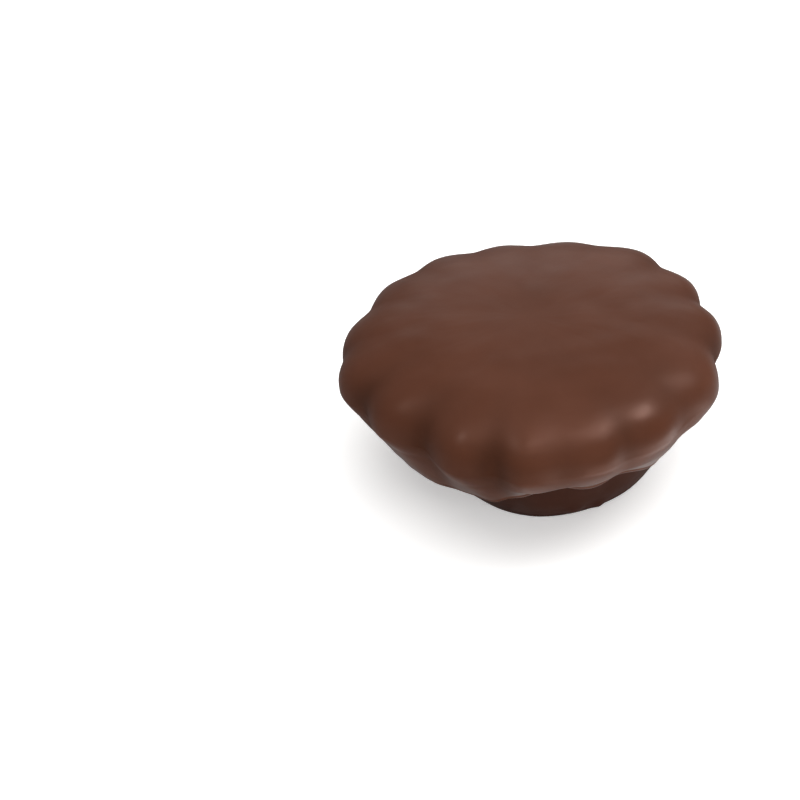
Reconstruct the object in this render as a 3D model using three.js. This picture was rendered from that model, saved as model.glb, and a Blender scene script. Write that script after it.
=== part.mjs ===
// A chocolate-coated biscuit: one round fluted piece whose thick coat is widest at a scalloped rim,
// draws in below the rim to a wavy lip, and stands on a smaller foot with a rounded edge.
// Millimetres, +Z up. The origin is on the flat sole, below the middle of the rim. The front faces -Y.

import * as THREE from 'three';

// Section, as radii from the axis and heights above the sole.
const rimRadius = 31;
const rimHeight = 17.8;
const topHeight = 26;
const domeRise = 0.4;
const soleRadius = 18.2;
const footRadius = 23.2;
const footRounding = 0.3;
const lipRadius = 25.7;
const lipHeight = 9.5;
const lipThickness = 0.9;
const rimRounding = 1.8;

// How square the rounding is between the rim and the top: 2 and 2 would be an ellipse.
const shoulderSpread = 3.7;
const shoulderRise = 2.7;

// Lobes round the rim. Depths run from a crown to the valley beside it. Where a lobe has its even
// fullness, between 0 in a valley and 1 on a crown, it meets the plain turned section.
const lobeCount = 15;
const firstCrown = -1.664;
const valleyRounding = 0.4;
const evenFullness = 0.6;
const rimLobeDepth = 1.3;
const lipLobeDepth = 0.5;
const lobeFade = 9;

// A dipped coat is never quite even. Each drift is a wave round the rim: how many times it repeats,
// its size, and the angle that it is turned by. Spacing is in lobes, depth and outline are shares.
const spacingDrift = [
  { repeats: 1, size: 0.041, turn: -2.86 },
  { repeats: 2, size: 0.124, turn: 2.93 },
  { repeats: 3, size: 0.079, turn: -2.07 },
  { repeats: 4, size: 0.07, turn: -0.72 },
];
const depthDrift = [
  { repeats: 2, size: 0.28, turn: 0.55 },
  { repeats: 3, size: 0.31, turn: 2.01 },
  { repeats: 4, size: 0.2, turn: -1.68 },
];
const outlineDrift = [
  { repeats: 2, size: 0.0096, turn: -2.41 },
  { repeats: 3, size: 0.024, turn: -0.62 },
  { repeats: 5, size: 0.016, turn: -2.64 },
  { repeats: 6, size: 0.0073, turn: 0.83 },
];

// Two valleys at the front are deeper than their neighbours: angle, half width, and extra share of depth.
const deepValleys = [
  { angle: -1.8, halfWidth: 0.18, size: 0.5 },
  { angle: -1.13, halfWidth: 0.12, size: 0.3 },
];

// The foot stands a little to the right of the middle of the coat. The lip rises and falls in waves of
// its own, in millimetres, and hangs lower on the left.
const footShift = 1.3;
const lipReach = 0.6;
const lipDrift = [
  { repeats: 1, size: 2.73, turn: 1.68 },
  { repeats: 2, size: 0.29, turn: -0.89 },
  { repeats: 3, size: 0.49, turn: 0.59 },
  { repeats: 4, size: 0.91, turn: 1.28 },
  { repeats: 13, size: 0.56, turn: 2.87 },
];

// At the front the lip hangs in one low drip, and stops a little higher beside it, also in millimetres.
const lipBreaks = [
  { angle: -1.88, halfWidth: 0.09, size: -0.9 },
  { angle: -1.54, halfWidth: 0.12, size: 0.6 },
];

// Faceting.
const columnsPerLobe = 10;
const stepsPerCurve = 4;
const stepsOverTop = 14;

// Sum of the waves of a drift at an angle.
function driftAt(drift, angle) {
  return drift.reduce((sum, wave) => sum + wave.size * Math.sin(wave.repeats * angle + wave.turn), 0);
}

// Sum of the local swellings at an angle.
function swellAt(swellings, angle) {
  return swellings.reduce((sum, swelling) => {
    const away = (angle - swelling.angle) / swelling.halfWidth;
    return sum + swelling.size * Math.exp(-(away ** 2));
  }, 0);
}

// How full the lobe is at an angle.
function lobeFullness(angle) {
  const lobe = (lobeCount * (angle - firstCrown)) / (2 * Math.PI) + driftAt(spacingDrift, angle);
  const crest = Math.hypot(Math.cos(Math.PI * lobe), valleyRounding);
  return (crest - valleyRounding) / (Math.hypot(1, valleyRounding) - valleyRounding);
}

// Depth of the lobes at a place of the section: none on the sole, full at the rim, none on the top.
function lobeDepth(radius, height) {
  if (height > rimHeight) {
    return rimLobeDepth * (radius / rimRadius) ** lobeFade;
  }
  if (height > lipHeight) {
    const climb = (height - lipHeight) / (rimHeight - lipHeight);
    return THREE.MathUtils.lerp(lipLobeDepth, rimLobeDepth, climb ** 2);
  }
  return (lipLobeDepth * height) / lipHeight;
}

// Half of the section, from the middle of the sole out and up to the middle of the top.
function sectionPoints() {
  const underLip = lipHeight - lipThickness;
  const outline = new THREE.Path();
  outline.moveTo(0, 0);
  outline.lineTo(soleRadius, 0);
  const footTurn = THREE.MathUtils.lerp(soleRadius, footRadius, footRounding);
  outline.quadraticCurveTo(footTurn, 0, footRadius, underLip);
  outline.quadraticCurveTo(lipRadius, underLip, lipRadius, lipHeight);
  outline.quadraticCurveTo(rimRadius, rimHeight - rimRounding, rimRadius, rimHeight);
  const points = outline.getPoints(stepsPerCurve);
  const shoulderHeight = topHeight - domeRise - rimHeight;
  for (let step = 1; step < stepsOverTop; step += 1) {
    const turn = (step / stepsOverTop) * (Math.PI / 2);
    const share = Math.cos(turn) ** (2 / shoulderSpread);
    const rise = shoulderHeight * Math.sin(turn) ** (2 / shoulderRise) + domeRise * (1 - share * share);
    points.push(new THREE.Vector2(rimRadius * share, rimHeight + rise));
  }
  points.push(new THREE.Vector2(0, topHeight));
  return points;
}

// Moves one vertex of the plain turned body to its place on the lobed, uneven one.
function shapeVertex(place, normal) {
  const angle = Math.atan2(place.y, place.x);
  const radius = Math.hypot(place.x, place.y);
  const height = place.z;
  const fullness = lobeFullness(angle);
  const depth = lobeDepth(radius, height) * (1 + driftAt(depthDrift, angle) + swellAt(deepValleys, angle));
  const outline = 1 + driftAt(outlineDrift, angle);
  const belowRim = THREE.MathUtils.clamp(1 - height / rimHeight, 0, 1);
  const nearLip = Math.max(0, 1 - Math.abs(height - lipHeight) / (lipReach * (rimHeight - lipHeight)));
  place.x *= outline;
  place.y *= outline;
  place.addScaledVector(normal, depth * (fullness - evenFullness));
  place.x += footShift * belowRim;
  place.z += (driftAt(lipDrift, angle) + swellAt(lipBreaks, angle)) * nearLip;
  return place;
}

// The whole biscuit: the section turned about the axis, then lobed.
function coatedBiscuit() {
  const geometry = new THREE.LatheGeometry(sectionPoints(), lobeCount * columnsPerLobe);
  geometry.rotateX(Math.PI / 2);
  const places = geometry.getAttribute('position');
  const normals = geometry.getAttribute('normal');
  const place = new THREE.Vector3();
  const normal = new THREE.Vector3();
  for (let index = 0; index < places.count; index += 1) {
    place.fromBufferAttribute(places, index);
    normal.fromBufferAttribute(normals, index);
    shapeVertex(place, normal);
    places.setXYZ(index, place.x, place.y, place.z);
  }
  geometry.computeVertexNormals();
  const chocolate = new THREE.MeshStandardMaterial({ color: '#5e3b2e', roughness: 0.42, metalness: 0 });
  const mesh = new THREE.Mesh(geometry, chocolate);
  mesh.name = 'coated_biscuit';
  return mesh;
}

const biscuit = new THREE.Group();
biscuit.add(coatedBiscuit());

export default biscuit;
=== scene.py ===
# A chocolate-coated biscuit: one fluted, dipped piece that stands on its foot, on a pale floor in soft light.
# Metres, +Z up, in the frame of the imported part.
import math
import bpy
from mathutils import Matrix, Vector


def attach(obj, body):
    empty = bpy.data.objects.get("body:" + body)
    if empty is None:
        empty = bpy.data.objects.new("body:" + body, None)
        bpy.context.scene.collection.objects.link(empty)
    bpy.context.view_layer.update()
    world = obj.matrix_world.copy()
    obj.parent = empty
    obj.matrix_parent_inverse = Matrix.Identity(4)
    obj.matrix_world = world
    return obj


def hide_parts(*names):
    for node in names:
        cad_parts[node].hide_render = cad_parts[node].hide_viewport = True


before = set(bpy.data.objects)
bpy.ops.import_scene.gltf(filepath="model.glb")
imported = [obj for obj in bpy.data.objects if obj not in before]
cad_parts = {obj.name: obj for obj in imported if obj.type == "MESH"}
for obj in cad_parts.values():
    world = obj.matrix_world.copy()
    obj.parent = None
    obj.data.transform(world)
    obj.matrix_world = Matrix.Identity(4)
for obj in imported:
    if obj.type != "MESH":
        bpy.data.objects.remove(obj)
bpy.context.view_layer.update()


# The coated body. A round biscuit is baked in a fluted tin and dipped whole in milk chocolate. The set coat
# is thick and smooth: it keeps the scallops of the tin round the rim, draws in below them to a wavy lip, and
# covers the foot with a thinner skin.
mm = 0.001
rim_radius = 31 * mm
rim_height = 17.8 * mm
top_height = 26 * mm
dome_rise = 0.4 * mm
sole_radius = 18.2 * mm
foot_radius = 23.2 * mm
foot_rounding = 0.3
lip_radius = 25.7 * mm
lip_height = 9.5 * mm
lip_thickness = 0.9 * mm
rim_rounding = 1.8 * mm
shoulder_spread = 3.7
shoulder_rise = 2.7

# How finely each stretch of the section is drawn.
sole_steps = 12
foot_steps = 24
lip_steps = 10
flank_steps = 26
top_steps = 44


def bend(start, control, end, steps):
    points = []
    for step in range(1, steps + 1):
        t = step / steps
        points.append(tuple(
            (1 - t) ** 2 * a + 2 * t * (1 - t) * b + t ** 2 * c for a, b, c in zip(start, control, end)
        ))
    return points


# Half of the section, as radius and height, from the middle of the sole out and up to the middle of the top.
under_lip = lip_height - lip_thickness
foot_turn = sole_radius + foot_rounding * (foot_radius - sole_radius)
section = [(0, 0)]
section += bend((0, 0), (sole_radius / 2, 0), (sole_radius, 0), sole_steps)
section += bend((sole_radius, 0), (foot_turn, 0), (foot_radius, under_lip), foot_steps)
section += bend((foot_radius, under_lip), (lip_radius, under_lip), (lip_radius, lip_height), lip_steps)
flank_control = (rim_radius, rim_height - rim_rounding)
section += bend((lip_radius, lip_height), flank_control, (rim_radius, rim_height), flank_steps)
shoulder_height = top_height - dome_rise - rim_height
for step in range(1, top_steps):
    turn = step / top_steps * math.pi / 2
    share = math.cos(turn) ** (2 / shoulder_spread)
    rise = shoulder_height * math.sin(turn) ** (2 / shoulder_rise) + dome_rise * (1 - share ** 2)
    section.append((rim_radius * share, rim_height + rise))
section.append((0, top_height))

# The section is drawn as a chain of points and spun about the axis.
lobe_count = 15
columns_per_lobe = 24
merge_distance = 0.01 * mm
bpy.ops.object.select_all(action="DESELECT")
bpy.ops.mesh.primitive_plane_add(size=mm)
coat = bpy.context.object
coat.name = "chocolate_coat"
bpy.ops.object.mode_set(mode="EDIT")
bpy.ops.mesh.select_mode(type="VERT")
bpy.ops.mesh.select_all(action="SELECT")
bpy.ops.mesh.merge(type="CENTER")
for (radius, height), (next_radius, next_height) in zip(section, section[1:]):
    move = (next_radius - radius, 0, next_height - height)
    bpy.ops.mesh.extrude_vertices_move(TRANSFORM_OT_translate={"value": move})
bpy.ops.mesh.select_all(action="SELECT")
columns = lobe_count * columns_per_lobe
bpy.ops.mesh.spin(steps=columns, angle=2 * math.pi, center=(0, 0, 0), axis=(0, 0, 1))
bpy.ops.mesh.select_all(action="SELECT")
bpy.ops.mesh.remove_doubles(threshold=merge_distance)
bpy.ops.mesh.normals_make_consistent(inside=False)
bpy.ops.object.mode_set(mode="OBJECT")

# Lobes round the rim, and how uneven the dip left them: each wave has its repeats, its size and its turn.
first_crown = -1.664
valley_rounding = 0.4
even_fullness = 0.6
rim_lobe_depth = 1.3 * mm
lip_lobe_depth = 0.5 * mm
lobe_fade = 9
spacing_waves = [(1, 0.041, -2.86), (2, 0.124, 2.93), (3, 0.079, -2.07), (4, 0.07, -0.72)]
depth_waves = [(2, 0.28, 0.55), (3, 0.31, 2.01), (4, 0.2, -1.68)]
outline_waves = [(2, 0.0096, -2.41), (3, 0.024, -0.62), (5, 0.016, -2.64), (6, 0.0073, 0.83)]
foot_shift = 1.3 * mm
lip_reach = 0.6
lip_waves = [
    (1, 2.73 * mm, 1.68),
    (2, 0.29 * mm, -0.89),
    (3, 0.49 * mm, 0.59),
    (4, 0.91 * mm, 1.28),
    (13, 0.56 * mm, 2.87),
]

# Places where a valley is deeper, or where the lip drips lower or stops higher: angle, half width and size.
deep_valleys = [(-1.8, 0.18, 0.5), (-1.13, 0.12, 0.3)]
lip_breaks = [(-1.88, 0.09, -0.9 * mm), (-1.54, 0.12, 0.6 * mm)]

# Small drops that set on the foot: angle, height, half width and rise. They thin out just above the sole.
foot_drops = [
    (-1.39, 2.6 * mm, 1.3 * mm, 0.55 * mm),
    (-1.18, 1.9 * mm, 1.1 * mm, 0.5 * mm),
    (0.42, 2.2 * mm, 1.2 * mm, 0.45 * mm),
    (2.6, 2.4 * mm, 1.4 * mm, 0.5 * mm),
]
drop_thinning = 1 * mm


def wave_sum(waves, angle):
    return sum(size * math.sin(repeats * angle + turn) for repeats, size, turn in waves)


def swell_sum(swells, angle):
    return sum(size * math.exp(-((angle - middle) / half_width) ** 2) for middle, half_width, size in swells)


def lobe_fullness(angle):
    lobe = lobe_count * (angle - first_crown) / (2 * math.pi) + wave_sum(spacing_waves, angle)
    crest = math.hypot(math.cos(math.pi * lobe), valley_rounding)
    return (crest - valley_rounding) / (math.hypot(1, valley_rounding) - valley_rounding)


def lobe_unevenness(angle):
    return 1 + wave_sum(depth_waves, angle) + swell_sum(deep_valleys, angle)


def climb_from_lip(height):
    return (height - lip_height) / (rim_height - lip_height)


def lobe_depth(radius, height):
    if height > rim_height:
        return rim_lobe_depth * (radius / rim_radius) ** lobe_fade
    if height > lip_height:
        return lip_lobe_depth + climb_from_lip(height) ** 2 * (rim_lobe_depth - lip_lobe_depth)
    return lip_lobe_depth * height / lip_height


def drop_swell(angle, radius, height):
    if height >= under_lip:
        return 0
    swell = 0
    for drop_angle, drop_height, half_width, rise in foot_drops:
        reach = math.hypot(radius * (angle - drop_angle), height - drop_height) / half_width
        swell += rise * math.exp(-reach ** 2)
    return swell * min(1, height / drop_thinning)


def coat_move(place, normal):
    angle = math.atan2(place.y, place.x)
    radius = math.hypot(place.x, place.y)
    depth = lobe_depth(radius, place.z) * lobe_unevenness(angle)
    swell = depth * (lobe_fullness(angle) - even_fullness) + drop_swell(angle, radius, place.z)
    outline = wave_sum(outline_waves, angle)
    below_rim = min(1, max(0, 1 - place.z / rim_height))
    near_lip = max(0, 1 - abs(climb_from_lip(place.z)) / lip_reach)
    lip_rise = (wave_sum(lip_waves, angle) + swell_sum(lip_breaks, angle)) * near_lip
    return normal * swell + Vector((place.x * outline + foot_shift * below_rim, place.y * outline, lip_rise))


# How deep in a valley a place lies: most at the rim, less towards the middle of the top and towards the lip.
valley_fade = 5


def valley_share(place):
    angle = math.atan2(place.y, place.x)
    if place.z < rim_height:
        reach = max(0, climb_from_lip(place.z))
    else:
        reach = (math.hypot(place.x, place.y) / rim_radius) ** valley_fade
    return reach * lobe_unevenness(angle) * (1 - lobe_fullness(angle))


def displace(piece, direction, strength, group="", texture=None):
    bpy.ops.object.modifier_add(type="DISPLACE")
    modifier = piece.modifiers[-1]
    modifier.direction = direction
    modifier.strength = strength
    modifier.vertex_group = group
    modifier.mid_level = 0.5 if texture else 0
    if texture:
        modifier.texture = texture
        modifier.texture_coords = "LOCAL"
    bpy.ops.object.modifier_apply(modifier=modifier.name)


def weigh(piece, name, weights):
    group = piece.vertex_groups.new(name=name)
    for index, weight in enumerate(weights):
        group.add([index], weight, "REPLACE")


# Weights only push one way, so each vertex is pushed too far by the same amount, and then all are set back.
moves = [coat_move(vertex.co, vertex.normal) for vertex in coat.data.vertices]
heights = [vertex.co.z for vertex in coat.data.vertices]
valleys = [valley_share(vertex.co) for vertex in coat.data.vertices]
for axis, direction in enumerate("XYZ"):
    largest = max(abs(move[axis]) for move in moves)
    weigh(coat, direction, [0.5 + move[axis] / (2 * largest) for move in moves])
    displace(coat, direction, 2 * largest, direction)
    displace(coat, direction, -largest)

# The coat sets with broad soft dents and a faint ripple, and lies flat on the sole.
dent_width = 9 * mm
dent_depth = 0.35 * mm
ripple_width = 2.6 * mm
ripple_depth = 0.06 * mm
full_relief_height = 2 * mm
weigh(coat, "dipped", [min(1, height / full_relief_height) for height in heights])
dents = bpy.data.textures.new("coat_dents", "CLOUDS")
dents.noise_scale = dent_width
dents.noise_depth = 1
displace(coat, "NORMAL", dent_depth, "dipped", dents)
ripple = bpy.data.textures.new("coat_ripple", "CLOUDS")
ripple.noise_scale = ripple_width
ripple.noise_depth = 2
displace(coat, "NORMAL", ripple_depth, "dipped", ripple)
coat.vertex_groups.clear()
bpy.ops.geometry.attribute_add(name="valley", domain="POINT", data_type="FLOAT")
coat.data.attributes["valley"].data.foreach_set("value", valleys)
bpy.ops.object.shade_smooth()

# Milk chocolate: brown with soft lighter and darker clouds, satin, with a very fine grain. Shade is painted
# into the valleys, where the colour is darker; there the chocolate runs together and sets more slowly, so it is
# also duller.
chocolate_refraction = 1.46
coat_gloss = 0.15
gloss_tint = (1, 0.68, 0.58, 1)
shade_brown_in_valleys = (0.055, 0.018, 0.009, 1)
dark_brown = (0.074, 0.025, 0.0133, 1)
light_brown = (0.0945, 0.034, 0.0195, 1)
valley_shade_strength = -0.4
valley_dulling = 0.35
chocolate = bpy.data.materials.new("milk_chocolate")
chocolate.use_nodes = True
nodes = chocolate.node_tree.nodes
links = chocolate.node_tree.links
shader = nodes["Principled BSDF"]
shader.inputs["IOR"].default_value = chocolate_refraction
shader.inputs["Specular IOR Level"].default_value = coat_gloss
shader.inputs["Specular Tint"].default_value = gloss_tint
coat_place = nodes.new("ShaderNodeTexCoord")
valley = nodes.new("ShaderNodeAttribute")
valley.attribute_name = "valley"

clouds = nodes.new("ShaderNodeTexNoise")
clouds.inputs["Scale"].default_value = 70
clouds.inputs["Detail"].default_value = 3
links.new(coat_place.outputs["Object"], clouds.inputs["Vector"])
# Painted shade: the valley share darkens the colour.
valley_shading = nodes.new("ShaderNodeMath")
valley_shading.operation = "MULTIPLY_ADD"
valley_shading.inputs[1].default_value = valley_shade_strength
links.new(valley.outputs["Fac"], valley_shading.inputs[0])
links.new(clouds.outputs["Fac"], valley_shading.inputs[2])
browns = nodes.new("ShaderNodeValToRGB")
browns.color_ramp.elements[0].position = 0.3
browns.color_ramp.elements[0].color = dark_brown
browns.color_ramp.elements[1].position = 0.75
browns.color_ramp.elements[1].color = light_brown
browns.color_ramp.elements.new(0).color = shade_brown_in_valleys
links.new(valley_shading.outputs["Value"], browns.inputs["Fac"])
links.new(browns.outputs["Color"], shader.inputs["Base Color"])

patches = nodes.new("ShaderNodeTexNoise")
patches.inputs["Scale"].default_value = 160
patches.inputs["Detail"].default_value = 4
links.new(coat_place.outputs["Object"], patches.inputs["Vector"])
satin = nodes.new("ShaderNodeMapRange")
satin.inputs["From Min"].default_value = 0.3
satin.inputs["From Max"].default_value = 0.7
satin.inputs["To Min"].default_value = 0.28
satin.inputs["To Max"].default_value = 0.36
links.new(patches.outputs["Fac"], satin.inputs["Value"])
duller = nodes.new("ShaderNodeMath")
duller.operation = "MULTIPLY_ADD"
duller.inputs[1].default_value = valley_dulling
links.new(valley.outputs["Fac"], duller.inputs[0])
links.new(satin.outputs["Result"], duller.inputs[2])
links.new(duller.outputs["Value"], shader.inputs["Roughness"])

grain = nodes.new("ShaderNodeTexNoise")
grain.inputs["Scale"].default_value = 1400
grain.inputs["Detail"].default_value = 3
links.new(coat_place.outputs["Object"], grain.inputs["Vector"])
bump = nodes.new("ShaderNodeBump")
bump.inputs["Strength"].default_value = 0.08
bump.inputs["Distance"].default_value = 0.1 * mm
links.new(grain.outputs["Fac"], bump.inputs["Height"])
links.new(bump.outputs["Normal"], shader.inputs["Normal"])

# The skin of the foot is the same chocolate, dull, with shade painted in: its colour is darker for the shade
# under the lip. It starts inside the fold of the lip.
foot_gloss = 0.03
foot_shade_tones = [(0.030, 0.010, 0.006, 1), (0.037, 0.013, 0.008, 1), (0.048, 0.018, 0.012, 1)]
foot_top = lip_height - 0.9 * lip_thickness
shaded_foot_chocolate = chocolate.copy()
shaded_foot_chocolate.name = "shaded_foot_chocolate"
foot_nodes = shaded_foot_chocolate.node_tree.nodes
foot_nodes["Principled BSDF"].inputs["Specular IOR Level"].default_value = foot_gloss
for stop, tone in zip(foot_nodes[browns.name].color_ramp.elements, foot_shade_tones):
    stop.color = tone
foot_satin = foot_nodes[satin.name].inputs
foot_satin["To Min"].default_value = 0.5
foot_satin["To Max"].default_value = 0.6

coat.data.materials.append(chocolate)
coat.data.materials.append(shaded_foot_chocolate)
for face in coat.data.polygons:
    face.material_index = int(max(heights[index] for index in face.vertices) < foot_top)
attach(coat, "root")
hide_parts("coated_biscuit")


# The floor. A wide sheet of matt white board. It glows a little, and more towards its rim where the lamps
# don't reach, so that it is the same white all over and loses its edges.
floor_width = 40
bpy.ops.object.select_all(action="DESELECT")
bpy.ops.mesh.primitive_plane_add(size=floor_width)
floor = bpy.context.object
floor.name = "floor"
board = bpy.data.materials.new("white_board")
board.use_nodes = True
board_nodes = board.node_tree.nodes
board_links = board.node_tree.links
board_shader = board_nodes["Principled BSDF"]
board_shader.inputs["Base Color"].default_value = (0.93, 0.93, 0.92, 1)
board_shader.inputs["Roughness"].default_value = 0.9
board_shader.inputs["Specular IOR Level"].default_value = 0.1
board_shader.inputs["Emission Color"].default_value = (1, 1, 1, 1)
board_place = board_nodes.new("ShaderNodeTexCoord")
board_distance = board_nodes.new("ShaderNodeVectorMath")
board_distance.operation = "LENGTH"
board_links.new(board_place.outputs["Object"], board_distance.inputs["Vector"])
board_glow = board_nodes.new("ShaderNodeMapRange")
board_glow.inputs["From Min"].default_value = 0.4
board_glow.inputs["From Max"].default_value = 1.6
board_glow.inputs["To Min"].default_value = 0.42
board_glow.inputs["To Max"].default_value = 0.85
board_links.new(board_distance.outputs["Value"], board_glow.inputs["Value"])
board_links.new(board_glow.outputs["Result"], board_shader.inputs["Emission Strength"])
floor.data.materials.append(board)
floor.visible_glossy = False


# The light. Large soft boxes behind film light the chocolate from above, the front and the right without a
# glint. Small boxes give only the glints on the shoulder, a panel behind greys the back of the top, and a panel
# on the floor and a small card beside the biscuit give the front and right flank their sheen.
def soft_box(name, place, aim, width, depth, power):
    lamp = bpy.data.lights.new(name, "AREA")
    lamp.shape = "RECTANGLE"
    lamp.size = width
    lamp.size_y = depth
    lamp.energy = power
    box = bpy.data.objects.new(name, lamp)
    bpy.context.scene.collection.objects.link(box)
    box.location = place
    box.rotation_euler = (Vector(aim) - Vector(place)).to_track_quat("-Z", "Y").to_euler()
    return box


biscuit = (0, 0, 0)
soft_box("overhead_film", (0.08, 0.06, 0.95), biscuit, 1.3, 1.3, 10.0).visible_glossy = False
soft_box("front_film", (0.65, -0.75, 0.45), biscuit, 0.6, 0.4, 2.4).visible_glossy = False
soft_box("right_film", (0.34, 0.12, 0.36), biscuit, 0.3, 0.3, 0.95).visible_glossy = False
soft_box("right_glint", (0.36, 0.04, 0.61), biscuit, 0.22, 0.14, 3.2).visible_diffuse = False
soft_box("top_glint", (0.12, -0.08, 0.7), biscuit, 0.28, 0.12, 1.1).visible_diffuse = False
soft_box("left_glint", (-0.29, -0.03, 0.64), biscuit, 0.18, 0.16, 1.0).visible_diffuse = False
soft_box("back_panel", (0.1, 0.68, 0.31), biscuit, 0.6, 0.25, 0.5).visible_diffuse = False
sheen = soft_box("floor_sheen", (0.125, -0.05, 0.002), (0.125, -0.05, 1), 0.26, 0.3, 0.09)
card = soft_box("flank_card", (0.030, -0.031, 0.004), (0.020, -0.020, 0.030), 0.05, 0.016, 0.009)
for panel in (sheen, card):
    panel.visible_diffuse = False
    panel.visible_camera = False

world = bpy.data.worlds.new("studio")
world.use_nodes = True
backdrop = world.node_tree.nodes["Background"]
backdrop.inputs["Color"].default_value = (1, 1, 1, 1)
backdrop.inputs["Strength"].default_value = 0.3
bpy.context.scene.world = world
bpy.context.scene.view_settings.view_transform = "Standard"


# The camera looks down on the front of the biscuit and a little past its left, and leans slightly.
lens = bpy.data.cameras.new("camera")
lens.lens = 79.3
lens.sensor_width = 36
camera = bpy.data.objects.new("camera", lens)
bpy.context.scene.collection.objects.link(camera)
camera.location = (0, -0.2366, 0.1841)
camera.rotation_euler = (math.radians(53.75), math.radians(5.77), math.radians(1.19))
bpy.context.scene.camera = camera
